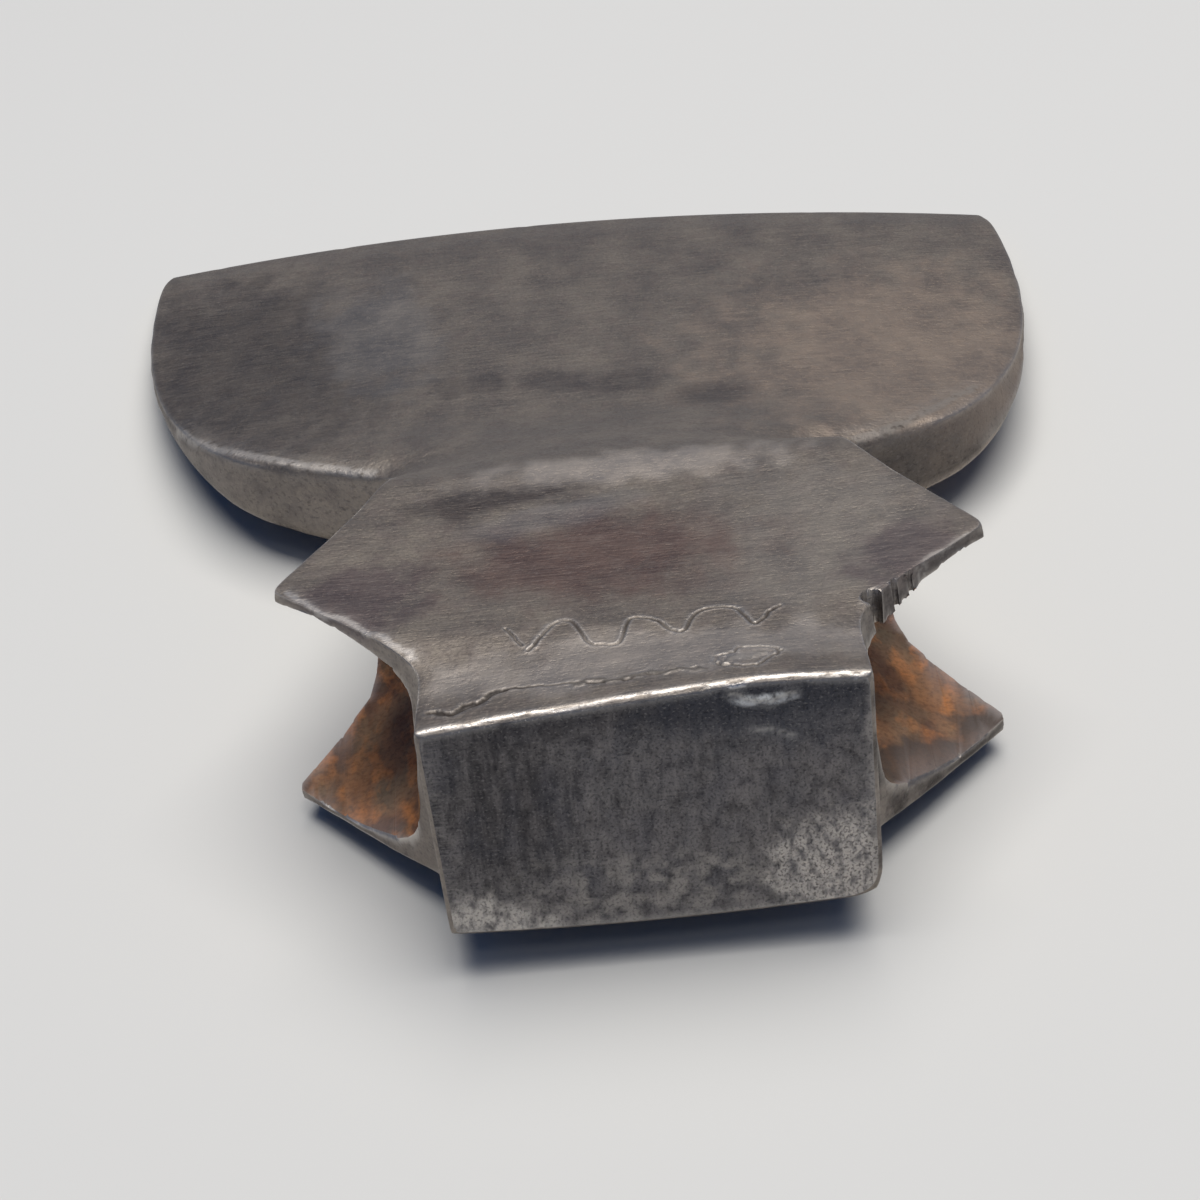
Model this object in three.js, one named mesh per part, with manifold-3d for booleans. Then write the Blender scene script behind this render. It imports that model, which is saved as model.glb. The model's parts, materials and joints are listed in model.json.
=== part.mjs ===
// A hewing axe head, forged in one piece and lying on its side.
//
// The head is drawn in its own frame first, in millimetres: X runs along the haft hole, Y runs from the
// poll face to the cutting edge, and Z is the thickness, with Z 0 half-way through it.
// A distance along Y is called a station.
// The head is then laid down the way a loose one rests: on the brow of its lower cheek and on its edge.

import * as THREE from 'three';
import { mergeVertices } from 'three/addons/utils/BufferGeometryUtils.js';
import Module from 'manifold-3d';

const wasm = await Module();
wasm.setup();

// Overall sizes
const HEAD_LENGTH = 200;
const BLADE_WIDTH = 150.5;
const CHEEK_THICKNESS = 33;

// Poll: the square hammer end, with a crowned face outline, one leaning side, one hammered-down corner
// and one worn corner
const POLL_WIDTH = 58.4;
const POLL_THICKNESS = 36;
const POLL_DEPTH = 16.5;
const POLL_STRAIGHT = 13;
const POLL_CROWN = 0.9;
const POLL_LEAN = 1.6;
const POLL_CORNER_DROP = 2.7;
const POLL_DROP_START = 12;
const POLL_EDGE_ROUNDING = 0.6;
const POLL_WORN_CORNER = 3;

// Eye: the hole for the haft, and the four pointed ears round its mouths. The ears at -X are drawn out
// thinner, and the flanks of the ears towards the poll aren't quite above each other.
const EYE_LENGTH = 45;
const EYE_BACK_HEIGHT = 22;
const EYE_FRONT_HEIGHT = 12;
const EYE_CORNER = 3.5;
const EYE_NOSE = 8.5;
const EYE_FLARE_START = 28;
const EYE_FLARE_END = 45;
const EYE_FLARE_DELAY = 2;
const FLARE_POWER_BACK = 0.7;
const FLARE_POWER_FRONT = 0.4;
const EAR_SPAN = 98;
const EAR_STATION = 38;
const THICK_EAR_TIP = 1.2;
const THIN_EAR_TIP = 0.7;
const EAR_TIP_BLUNTNESS = 1.6;
const LOWER_EAR_REACH = 2.2;
const LOWER_EAR_LEAN = 1.2;
const FLANK_STATION = 21;
const LOWER_FLANK_LEAD = 2.8;
const UPPER_FLANK_LAG = 2;

// Brow and neck, where the cheeks run out into the blade. The cheeks are hammered a little hollow across,
// so the head lies on both ends of its brow.
const CHEEK_HOLLOW = 0.6;
const BROW_STATION = 69;
const NECK_WIDTH = 63;
const NECK_STATION = 81;

// Blade, set a little to -X and turned a little, so that its horn at -X stands further from the poll
const SHOULDER_WIDTH = 104;
const SHOULDER_STATION = 96.5;
const SHOULDER_SLOPE = 0.65;
const SHOULDER_THICKNESS = 13;
const LOWER_SHOULDER_REACH = 1.8;
const ROOT_STATION = 108;
const ROOT_THICKNESS = 13;
const THINNED_STATION = 139;
const BELLY_STATION = 165;
const HORN_THICKNESS = 2.6;
const HORN_INSET = 2.2;
const EDGE_BOW = 11.5;
const EDGE_SKEW = 3.4;
const BLADE_SHIFT = -2;
const BEVEL_WIDTH = 9;
const BEVEL_THICKNESS = 3.4;
const EDGE_LAND = 0.5;

// Worn roundings of the edges along the outline
const CHEEK_ROUNDING = 0.6;
const BLADE_ROUNDING = 2.2;

// How deep a rounding may cut into half the thickness, as a share of it
const DEEPEST_ROUNDING = 0.7;

// Powers of across: how late a row thins towards its rim, how soon the poll falls to its hammered corner,
// and how late a row reaches out to an ear's tip
const RIM_THINNING = 2.4;
const CORNER_FALL = 0.75;
const TIP_REACH = 3;

// Where the fall of the poll's upper side ends, as a share of the poll's depth
const FALL_END = 1.5;

// Handles of the outline's curves, as shares of the way from one end of a curve to the other, out and along
const BACK_FLANK = { along: 0.18, out: 0.42, back: 0.51 };
const FRONT_FLANK = { out: 0.32, along: 0.25, end: 0.7 };
const NECK_CURVE = { along: 0.45, out: 0.6 };
const SHOULDER_CURVE = { out: 0.52, along: 0.49 };
const BELLY_CURVE = { along: 0.6, out: 0.3, end: 0.9 };

// Chips knocked out of the upper ear's rim at +X, right through its thin wall: each is a round scoop, wide
// at the top, whose middle is so far out from the line of the poll's side
const CHIPS = [
  { out: 2.5, station: 21.1, radius: 2.6 },
  { out: 5.9, station: 24.3, radius: 1.1 },
  { out: 8.4, station: 26.6, radius: 0.9 },
];
const CHIP_TAPER = 0.35;

// Clearance of the eye's cutter past the ears, and mesh fineness
const EYE_OVERRUN = 4;
const COLUMNS = 26;
const EYE_ARC_STEPS = 4;
const EYE_STATIONS = 14;
const CHIP_SIDES = 14;

// How far the middle of a quarter circle stands in from its corner, for a radius of 1
const ARC_MIDDLE = 1 - Math.SQRT1_2;

const STEEL = new THREE.MeshStandardMaterial({
  name: 'forged_steel',
  color: '#57524e',
  roughness: 0.5,
  metalness: 0.9,
});

const { lerp, smoothstep } = THREE.MathUtils;
const point = (x, y) => new THREE.Vector2(x, y);

// Half of the outline, seen from above, from the poll face to the horn where the cutting edge starts.
// In each point x is the distance out from the middle and y is the station.
function outline() {
  const poll = POLL_WIDTH / 2;
  const ear = EAR_SPAN / 2;
  const neck = NECK_WIDTH / 2;
  const shoulder = SHOULDER_WIDTH / 2;
  const side = BLADE_WIDTH / 2;
  const horn = point(side - HORN_INSET, HEAD_LENGTH - EDGE_BOW);
  const earEnd = EAR_STATION + EAR_TIP_BLUNTNESS;
  const curves = [
    [4, new THREE.LineCurve(point(poll, POLL_EDGE_ROUNDING), point(poll, POLL_STRAIGHT))],
    [9, new THREE.CubicBezierCurve(
      point(poll, POLL_STRAIGHT),
      point(poll, lerp(POLL_STRAIGHT, EAR_STATION, BACK_FLANK.along)),
      point(lerp(poll, ear, BACK_FLANK.out), lerp(EAR_STATION, POLL_STRAIGHT, BACK_FLANK.back)),
      point(ear, EAR_STATION),
    )],
    [1, new THREE.LineCurve(point(ear, EAR_STATION), point(ear, earEnd))],
    [12, new THREE.CubicBezierCurve(
      point(ear, earEnd),
      point(lerp(ear, neck, FRONT_FLANK.out), lerp(earEnd, NECK_STATION, FRONT_FLANK.along)),
      point(neck, lerp(earEnd, NECK_STATION, FRONT_FLANK.end)),
      point(neck, NECK_STATION),
    )],
    [8, new THREE.CubicBezierCurve(
      point(neck, NECK_STATION),
      point(neck, lerp(NECK_STATION, SHOULDER_STATION, NECK_CURVE.along)),
      point(
        lerp(shoulder, neck, NECK_CURVE.out),
        SHOULDER_STATION - SHOULDER_SLOPE * (shoulder - neck) * NECK_CURVE.out,
      ),
      point(shoulder, SHOULDER_STATION),
    )],
    [12, new THREE.CubicBezierCurve(
      point(shoulder, SHOULDER_STATION),
      point(
        lerp(shoulder, side, SHOULDER_CURVE.out),
        SHOULDER_STATION + SHOULDER_SLOPE * (side - shoulder) * SHOULDER_CURVE.out,
      ),
      point(side, lerp(SHOULDER_STATION, BELLY_STATION, SHOULDER_CURVE.along)),
      point(side, BELLY_STATION),
    )],
    [7, new THREE.CubicBezierCurve(
      point(side, BELLY_STATION),
      point(side, lerp(BELLY_STATION, horn.y, BELLY_CURVE.along)),
      point(lerp(side, horn.x, BELLY_CURVE.out), lerp(BELLY_STATION, horn.y, BELLY_CURVE.end)),
      horn,
    )],
  ];
  const points = [curves[0][1].getPoint(0)];
  for (const [steps, curve] of curves) points.push(...curve.getPoints(steps).slice(1));
  return points;
}

// How far the middle of a row runs ahead of its ends: rows are straight at the poll and bowed at the edge
function bowAt(station) {
  return EDGE_BOW * smoothstep(station, NECK_STATION, HEAD_LENGTH - EDGE_BOW);
}

// A gentle fall from 0 to 1, straighter in the middle than smoothstep so that no part of it is steep
function fall(station, start, end) {
  const straight = THREE.MathUtils.clamp((station - start) / (end - start), 0, 1);
  return (straight + smoothstep(station, start, end)) / 2;
}

// A rise from 0 to 1 and back to 0
function hump(station, start, top, topEnd, end) {
  return smoothstep(station, start, top) * (1 - smoothstep(station, topEnd, end));
}

// Thickness of the steel along the middle line, before the cutting bevel
function middleThickness(station) {
  const cheek = lerp(POLL_THICKNESS, CHEEK_THICKNESS, smoothstep(station, 0, POLL_DEPTH));
  const taper = (station - ROOT_STATION) / (HEAD_LENGTH - BEVEL_WIDTH - ROOT_STATION);
  const blade = lerp(ROOT_THICKNESS, BEVEL_THICKNESS, THREE.MathUtils.clamp(taper, 0, 1));
  return lerp(cheek, blade, fall(station, BROW_STATION, ROOT_STATION));
}

// Thickness of the steel along the outline
function rimThickness(station) {
  if (station <= BROW_STATION) return middleThickness(station);
  const foot = lerp(NECK_STATION, SHOULDER_STATION, 0.5);
  const shoulder = lerp(CHEEK_THICKNESS, SHOULDER_THICKNESS, fall(station, BROW_STATION, foot));
  return lerp(shoulder, HORN_THICKNESS, smoothstep(station, NECK_STATION, THINNED_STATION));
}

// Half thickness at x across and y along, on a row that ends at the outline point end
function halfThickness(x, y, end) {
  const across = Math.min(Math.abs(x) / end.x, 1);
  const rim = rimThickness(end.y);
  const whole = lerp(middleThickness(y), rim, across ** RIM_THINNING);
  const edgeStation = HEAD_LENGTH - EDGE_BOW * (x / (BLADE_WIDTH / 2 - HORN_INSET)) ** 2;
  const toEdge = Math.max(edgeStation - y, 0) / BEVEL_WIDTH;
  return Math.min(whole, lerp(EDGE_LAND, BEVEL_THICKNESS, toEdge)) / 2;
}

// How much lower than the middle the poll stands: at its crowned corners, and more at its hammered-down
// corner, which is the upper one at -X
function pollFall(x, y, face) {
  const onPoll = 1 - smoothstep(y, 0, POLL_DEPTH * FALL_END);
  const crown = POLL_CROWN * (x / (POLL_WIDTH / 2)) ** 2;
  const hammered = Math.max((POLL_DROP_START - x) / (POLL_DROP_START + POLL_WIDTH / 2), 0) ** CORNER_FALL;
  return onPoll * (crown + (face > 0 ? POLL_CORNER_DROP * hammered : 0));
}

// How far a cheek is hollow between its rims
function hollow(y, across) {
  return CHEEK_HOLLOW * hump(y, POLL_DEPTH, EAR_STATION, BROW_STATION, ROOT_STATION) * (1 - across ** 2);
}

// Where a point of a true head lies on this one, whose poll leans at -X, whose lower ears lean to the
// poll, whose lower ear and shoulder at +X run on and whose blade is shifted and turned.
// Across runs from -1 to 1 over the row.
function outOfTrue(x, y, face, across) {
  const onPoll = 1 - smoothstep(y, 0, POLL_DEPTH);
  const onFlank = hump(y, POLL_DEPTH / 3, FLANK_STATION, FLANK_STATION, EAR_STATION);
  const onEar = hump(y, POLL_DEPTH, EAR_STATION, EAR_STATION, NECK_STATION);
  const onShoulder = hump(y, NECK_STATION, SHOULDER_STATION, ROOT_STATION, THINNED_STATION);
  const onBlade = smoothstep(y, BROW_STATION, SHOULDER_STATION);
  const lean = (POLL_LEAN / 2) * face * Math.min(across, 0);
  const outer = Math.abs(across) ** TIP_REACH;
  const lowerTip = face < 0 ? outer * onEar : 0;
  const lowerShoulder = face < 0 ? outer * onShoulder : 0;
  const reach = x > 0 ? LOWER_EAR_REACH * lowerTip + LOWER_SHOULDER_REACH * lowerShoulder : 0;
  const lead = face < 0 ? LOWER_FLANK_LEAD : 0;
  const lag = face > 0 && x > 0 ? UPPER_FLANK_LAG : 0;
  return [
    x + lean * onPoll + reach + BLADE_SHIFT * onBlade,
    y - EDGE_SKEW * across * onBlade - LOWER_EAR_LEAN * lowerTip + (lag - lead) * outer * onFlank,
  ];
}

// One closed ring of points round the head, through the outline point end and its mirror image
function section(end, inset) {
  const half = end.x - inset;
  const place = (x, face, cut) => {
    const across = x / half;
    const y = end.y + bowAt(end.y) * (1 - across ** 2);
    const z = halfThickness(x, y, end) - inset - pollFall(x, y, face) - hollow(y, across) - cut;
    return [...outOfTrue(x, y, face, across), face * Math.max(z, EDGE_LAND / 4)];
  };
  const onBlade = smoothstep(end.y, NECK_STATION, SHOULDER_STATION);
  const plain = lerp(CHEEK_ROUNDING, BLADE_ROUNDING, onBlade);
  const worn = lerp(POLL_WORN_CORNER, plain, smoothstep(end.y, 0, POLL_DEPTH));
  const deepest = halfThickness(half, end.y, end) * DEEPEST_ROUNDING;
  const plainCut = Math.min(plain, deepest);
  const wornCut = Math.min(worn, deepest);
  const ring = [];
  for (const [face, firstCut, lastCut] of [[1, plainCut, plainCut], [-1, wornCut, plainCut]]) {
    ring.push(place(-half * face, face, firstCut));
    ring.push(place(-(half - ARC_MIDDLE * firstCut) * face, face, ARC_MIDDLE * firstCut));
    for (let i = 0; i <= COLUMNS; i += 1) {
      ring.push(place(lerp(-(half - firstCut), half - lastCut, i / COLUMNS) * face, face, 0));
    }
    ring.push(place((half - ARC_MIDDLE * lastCut) * face, face, ARC_MIDDLE * lastCut));
    ring.push(place(half * face, face, lastCut));
  }
  return ring;
}

// A closed body through rings that all have the same number of points
function loft(rings) {
  const count = rings[0].length;
  const index = [];
  for (let r = 0; r + 1 < rings.length; r += 1) {
    for (let i = 0; i < count; i += 1) {
      const a = r * count + i;
      const b = r * count + ((i + 1) % count);
      index.push(a, b, b + count, a, b + count, a + count);
    }
  }
  // Each end ring is closed by a strip between its two long sides
  for (const [base, flip] of [[0, true], [(rings.length - 1) * count, false]]) {
    for (let i = 0, j = count - 1; i + 1 < j; i += 1, j -= 1) {
      const corners = [base + i, base + i + 1, base + j - 1, base + j];
      const faces = [[corners[0], corners[1], corners[2]], [corners[0], corners[2], corners[3]]];
      for (const face of faces) {
        if (new Set(face).size === 3) index.push(...(flip ? face.reverse() : face));
      }
    }
  }
  const geometry = new THREE.BufferGeometry();
  geometry.setAttribute('position', new THREE.Float32BufferAttribute(rings.flat(2), 3));
  geometry.setIndex(index);
  return geometry;
}

// A three.js geometry as a solid that can be cut, and back again
function toSolid(geometry) {
  const bare = geometry.clone();
  bare.deleteAttribute('normal');
  bare.deleteAttribute('uv');
  const merged = mergeVertices(bare, 1e-5);
  return new wasm.Manifold(new wasm.Mesh({
    numProp: 3,
    vertProperties: merged.attributes.position.array,
    triVerts: new Uint32Array(merged.index.array),
  }));
}

function toGeometry(solid) {
  const mesh = solid.getMesh();
  const geometry = new THREE.BufferGeometry();
  geometry.setAttribute('position', new THREE.BufferAttribute(mesh.vertProperties, 3));
  geometry.setIndex(new THREE.BufferAttribute(mesh.triVerts, 1));
  geometry.computeVertexNormals();
  return geometry;
}

// The whole forging without its eye
function forging() {
  const ends = outline();
  const face = section(point(ends[0].x, 0), POLL_EDGE_ROUNDING);
  return toSolid(loft([face, ...ends.map((end) => section(end, 0))]));
}

// The haft hole: flat at the poll end, round at the blade end, and flared where it opens between the ears
function eye() {
  const front = POLL_DEPTH + EYE_LENGTH;
  const back = EYE_BACK_HEIGHT / 2;
  const nose = EYE_FRONT_HEIGHT / 2;
  const shape = new THREE.Shape();
  shape.moveTo(POLL_DEPTH, -(back - EYE_CORNER));
  shape.quadraticCurveTo(POLL_DEPTH, -back, POLL_DEPTH + EYE_CORNER, -back);
  shape.lineTo(front - EYE_NOSE, -nose);
  shape.quadraticCurveTo(front, -nose, front, 0);
  shape.quadraticCurveTo(front, nose, front - EYE_NOSE, nose);
  shape.lineTo(POLL_DEPTH + EYE_CORNER, back);
  shape.quadraticCurveTo(POLL_DEPTH, back, POLL_DEPTH, back - EYE_CORNER);
  const profile = shape.getPoints(EYE_ARC_STEPS);
  const beyond = EAR_SPAN / 2 + LOWER_EAR_REACH + EYE_OVERRUN;
  const rings = [];
  for (let i = -EYE_STATIONS; i <= EYE_STATIONS; i += 1) {
    const x = (beyond * i) / EYE_STATIONS;
    const mouth = CHEEK_THICKNESS / 2 - (x < 0 ? THIN_EAR_TIP : THICK_EAR_TIP);
    const inside = Math.abs(x) - (x < 0 ? 0 : EYE_FLARE_DELAY);
    const widening = smoothstep(inside, EYE_FLARE_START, EYE_FLARE_END);
    rings.push(profile.map((p) => {
      const along = (p.x - POLL_DEPTH) / EYE_LENGTH;
      const flare = widening ** lerp(FLARE_POWER_BACK, FLARE_POWER_FRONT, along);
      return [x, p.x, p.y * lerp(1, mouth / lerp(back, nose, along), flare)];
    }));
  }
  return toSolid(loft(rings));
}

// The pieces knocked out of the rim
function chips() {
  return CHIPS.map(({ out, station, radius }) => {
    const chip = new THREE.CylinderGeometry(radius, radius * CHIP_TAPER, CHEEK_THICKNESS / 2, CHIP_SIDES);
    chip.rotateX(Math.PI / 2);
    chip.translate(POLL_WIDTH / 2 + out, station, CHEEK_THICKNESS / 2);
    return toSolid(chip);
  });
}

// The station of the centre of mass, from the signed volumes under the triangles
function massStation(geometry) {
  const position = geometry.attributes.position;
  const corners = [0, 1, 2].map(() => new THREE.Vector3());
  let volume = 0;
  let moment = 0;
  for (let i = 0; i < geometry.index.count; i += 3) {
    corners.forEach((c, k) => c.fromBufferAttribute(position, geometry.index.getX(i + k)));
    const under = corners[0].dot(corners[1].clone().cross(corners[2]));
    volume += under;
    moment += (under * (corners[0].y + corners[1].y + corners[2].y)) / 4;
  }
  return moment / volume;
}

// How far the head pitches, edge down, when it lies on its lower cheek: seen along the haft hole, it rests
// on the side of its lower hull that is under the centre of mass
function restPitch(geometry) {
  const position = geometry.attributes.position;
  const points = [];
  for (let i = 0; i < position.count; i += 1) points.push(point(position.getY(i), position.getZ(i)));
  points.sort((a, b) => a.x - b.x || a.y - b.y);
  const hull = [];
  for (const p of points) {
    while (hull.length > 1) {
      const [a, b] = hull.slice(-2);
      if ((b.x - a.x) * (p.y - a.y) > (b.y - a.y) * (p.x - a.x)) break;
      hull.pop();
    }
    hull.push(p);
  }
  const balance = massStation(geometry);
  const right = hull.findIndex((p) => p.x > balance);
  const [a, b] = [hull[right - 1], hull[right]];
  return Math.atan2(b.y - a.y, b.x - a.x);
}

let head = forging().subtract(eye());
for (const chip of chips()) head = head.subtract(chip);
const geometry = toGeometry(head);

const axeHead = new THREE.Mesh(geometry, STEEL);
axeHead.name = 'axe_head';
axeHead.rotation.x = -restPitch(geometry);

// The origin is on the ground, under the middle of the head
axeHead.updateMatrixWorld();
const box = new THREE.Box3().setFromObject(axeHead, true);
const middle = box.getCenter(new THREE.Vector3());
axeHead.position.set(-middle.x, -middle.y, -box.min.z);

const part = new THREE.Group();
part.add(axeHead);

export default part;
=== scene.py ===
# %% [markdown]
# # A forged hewing axe head
# This lesson gives a plain CAD model of an axe head the surface of a real one. The head was forged from
# one bar of steel, used for years, and cleaned. It lies on its side and is seen from the back of its poll,
# the square hammer end.
# The CAD model is loaded first and stays as it is. Everything below is made around it, in its own frame.

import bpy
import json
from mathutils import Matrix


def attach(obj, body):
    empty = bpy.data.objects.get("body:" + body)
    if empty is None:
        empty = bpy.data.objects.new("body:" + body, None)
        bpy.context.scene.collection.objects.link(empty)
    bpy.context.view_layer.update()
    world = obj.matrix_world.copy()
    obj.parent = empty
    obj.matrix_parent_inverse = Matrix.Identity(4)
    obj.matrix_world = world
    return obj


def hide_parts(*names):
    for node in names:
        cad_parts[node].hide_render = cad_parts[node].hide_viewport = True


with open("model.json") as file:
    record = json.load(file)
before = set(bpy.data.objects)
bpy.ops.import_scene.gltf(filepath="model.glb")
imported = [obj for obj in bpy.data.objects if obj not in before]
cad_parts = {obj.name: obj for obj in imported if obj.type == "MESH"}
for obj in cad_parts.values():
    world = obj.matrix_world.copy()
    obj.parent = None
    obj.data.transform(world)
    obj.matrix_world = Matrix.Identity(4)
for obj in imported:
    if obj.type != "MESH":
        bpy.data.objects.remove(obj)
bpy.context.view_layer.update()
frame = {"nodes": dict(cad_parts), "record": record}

# %% Tools used by every step
import json
import math

import bmesh
import bpy
import numpy as np
from mathutils import Matrix, Vector
from mathutils.bvhtree import BVHTree

MM = 0.001

# %% [markdown]
# ## The head's own frame
# The head lies a little tilted, edge down. A smith would measure it along its own middle line instead:
# X along the haft hole, Y from the poll face to the cutting edge, and Z through its thickness.
# The record of the CAD model says where the poll face is and which way it looks. The tilt could be typed
# in, but reading it from there keeps both frames together.

# %% From the head's frame, in millimetres, to the scene's
poll_mount = next(m for m in frame["record"]["mounts"] if m["name"] == "poll_face")
head_along = -Vector(poll_mount["axis"]).normalized()
head_across = Vector((1, 0, 0))
head_up = head_across.cross(head_along)
turn = Matrix((head_across, head_along, head_up)).transposed()
TO_SCENE = Matrix.Translation(poll_mount["pos_m"]) @ turn.to_4x4() @ Matrix.Scale(MM, 4)
TO_HEAD = TO_SCENE.inverted()
print("the head lies pitched by", round(math.degrees(math.asin(head_along.z)), 2), "degrees")


def in_head_frame(points):
    """Rows of scene points, in metres, as rows of head-frame points, in millimetres."""
    turned = np.array(TO_HEAD.to_3x3())
    return points @ turned.T + np.array(TO_HEAD.translation)


# %% [markdown]
# ## The body of the head
# A forging has broad, slightly uneven faces that meet in edges the hammer and the file left fairly crisp.
# The CAD model has its form in flat facets. Sculpting it by hand would lose the measured form, and a voxel
# remesh would round off the thin edge and the ears. So its facets are joined into four-sided faces, the
# sharp edges are creased, and Subdivision Surface rounds the rest.

# %% Copy the facets and join them
MERGE_DISTANCE = 0.02 * MM
JOIN_ANGLE = math.radians(12)
JOIN_SHAPE = math.radians(60)


def joined_copy(source):
    """The source's loose triangles as one closed mesh, mostly of four-sided faces."""
    shell = bmesh.new()
    shell.from_mesh(source.data)
    bmesh.ops.remove_doubles(shell, verts=shell.verts, dist=MERGE_DISTANCE)
    bmesh.ops.dissolve_degenerate(shell, dist=MERGE_DISTANCE, edges=shell.edges)
    bmesh.ops.join_triangles(
        shell,
        faces=shell.faces,
        angle_face_threshold=JOIN_ANGLE,
        angle_shape_threshold=JOIN_SHAPE,
    )
    return shell


shell = joined_copy(frame["nodes"]["axe_head"])
print("joined:", len(shell.verts), "points and", len(shell.faces), "faces")

# %% [markdown]
# The poll face is one row of tall strips. Cut across, they become a grid that can take dents and pits.

# %% Cut long edges
LONGEST_EDGE = 3.2 * MM
POLL_FACE_DEPTH = 1.2
HALVINGS = 4


def cut_long_edges(shell, longest):
    """Halve the edges of the poll face that are longer than this, in HALVINGS rounds at most."""
    for _ in range(HALVINGS):
        tall = [e for e in shell.edges if e.calc_length() > longest]
        tall = [e for e in tall if all((TO_HEAD @ v.co).y < POLL_FACE_DEPTH for v in e.verts)]
        if tall:
            bmesh.ops.subdivide_edges(shell, edges=tall, cuts=1, use_grid_fill=True)


cut_long_edges(shell, LONGEST_EDGE)
print("after cutting:", len(shell.faces), "faces")

# %% [markdown]
# ## Which face is which
# Three surfaces look different on the real head: the outside, the poll face, and the inside of the eye,
# the hole for the haft. Sharp edges part them, so a region can be found by walking from one known face to
# its neighbours until an edge is too sharp to cross.

# %% Find the regions between sharp edges
OUTSIDE, POLL_FACE, EYE_WALL = 0, 1, 2


def region_from(shell, start, sharpest):
    """The faces reached from the one nearest to start, crossing only edges blunter than sharpest."""
    shell.faces.ensure_lookup_table()
    first = min(shell.faces, key=lambda f: (f.calc_center_median() - start).length)
    found, rim = {first}, [first]
    while rim:
        for edge in rim.pop().edges:
            if edge.calc_face_angle(math.pi) > sharpest:
                continue
            for other in edge.link_faces:
                if other not in found:
                    found.add(other)
                    rim.append(other)
    return found


for number, start, sharpest in [
    (POLL_FACE, Vector((0, 0, 0)), math.radians(20)),
    (EYE_WALL, Vector((0, 38, 9)), math.radians(38)),
]:
    region = region_from(shell, TO_SCENE @ start, sharpest)
    for face in region:
        face.material_index = number
    area = sum(f.calc_area() for f in region) / MM**2
    print("region", number, "has", len(region), "faces and", round(area), "square mm")

# %% Crease the sharp edges and round the rest
SHARP = math.radians(36)
WORN_CREASE = 0.8
ROUNDING_LEVELS = 2


def rounded(shell, name):
    """The shell as an object whose soft faces are rounded between its creased edges."""
    crease = shell.edges.layers.float.new("crease_edge")
    for edge in shell.edges:
        if edge.calc_face_angle(0) > SHARP:
            edge[crease] = WORN_CREASE
    mesh = bpy.data.meshes.new(name)
    shell.to_mesh(mesh)
    shell.free()
    body = bpy.data.objects.new(name, mesh)
    bpy.context.scene.collection.objects.link(body)
    surface = body.modifiers.new("rounding", "SUBSURF")
    surface.levels = surface.render_levels = ROUNDING_LEVELS
    return body


def apply_modifiers(body):
    """Turn what the modifiers make into the object's plain mesh, and remove them."""
    view_layer = bpy.context.view_layer
    view_layer.update()
    made = bpy.data.meshes.new_from_object(body.evaluated_get(view_layer.depsgraph))
    body.modifiers.clear()
    body.data = made


body = rounded(shell, "axe_head_forging")
apply_modifiers(body)
print("rounded:", len(body.data.vertices), "points")

# %% [markdown]
# ## Where the finest marks are
# A hand-cut wavy line decorates the cheek, a cold seam from the forging crosses it below, a few gouges cut
# the poll, and some rims are rubbed bright. The bright line along the poll's top edge is partly rubbed
# metal and partly a painted highlight, and the bright line along the blade's near left rim is a painted
# highlight.
# They were measured in the photograph, as points in the head's own frame: x and y on the cheek, x and z on
# the poll face. A mark a third of a millimetre wide needs a grid finer than that, but dividing the whole
# head again would make a heavy mesh. So the grid is halved twice beside the cut lines, and once where the
# poll is beaten or gouged.

# %% The lines of the marks
WAVE = [(-14.6, 16.3), (-13.3, 17.9), (-10.6, 22.4), (-8.5, 22.0), (-6.6, 16.8), (-4.5, 15.8), (-2.4, 15.8),
        (-0.7, 21.3), (2.2, 20.7), (4.5, 17.5), (6.2, 17.1), (8.6, 21.6), (12.9, 21.6), (15.0, 17.3),
        (16.2, 17.1), (17.5, 19.3), (19.2, 20.9)]
STROKE = [(-17.4, 22.0), (-16.4, 19.9), (-15.4, 17.6)]
SEAM = [(-27.5, 5.1), (-24.6, 3.6), (-21.2, 5.5), (-17.5, 7.6), (-10.8, 7.0), (-5.8, 5.8), (-1.6, 5.6),
        (4.1, 6.1), (7.2, 6.1)]
FLAKE = [(9.8, 5.6), (10.1, 8.3), (12.9, 9.9), (15.2, 10.1), (17.7, 8.4), (17.7, 6.9), (13.5, 4.0),
         (9.8, 5.6)]
CRACK = [(-27.9, 5.2), (-26.2, 4.0), (-24.6, 3.7), (-22.9, 4.9), (-21.2, 5.4), (-19.4, 7.3), (-17.8, 7.5)]
SCALE = [(10.6, 5.9), (12.2, 7.4), (14.3, 7.2), (16.2, 8.3)]
FOLD = [(-9.0, 6.6), (-3.0, 5.8), (1.0, 6.2), (5.0, 5.9), (8.5, 5.4)]
# The poll's top edge: a bright line that is partly rubbed bare metal and partly a painted highlight.
POLL_EDGE_WEAR_AND_HIGHLIGHT = [(-29.2, 0.5), (-22, 0.6), (-16, 0.7), (-13, 0.45), (-6, 0.6), (-1, 0.8), (3, 0.5), (7, 0.6),
             (11, 0.4), (18, 0.6), (24, 0.5), (28.8, 0.5)]
RIGHT_EAR_RIM = [(38.6, 28.0), (41.0, 30.6), (43.6, 33.2), (47.0, 36.6)]
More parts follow.
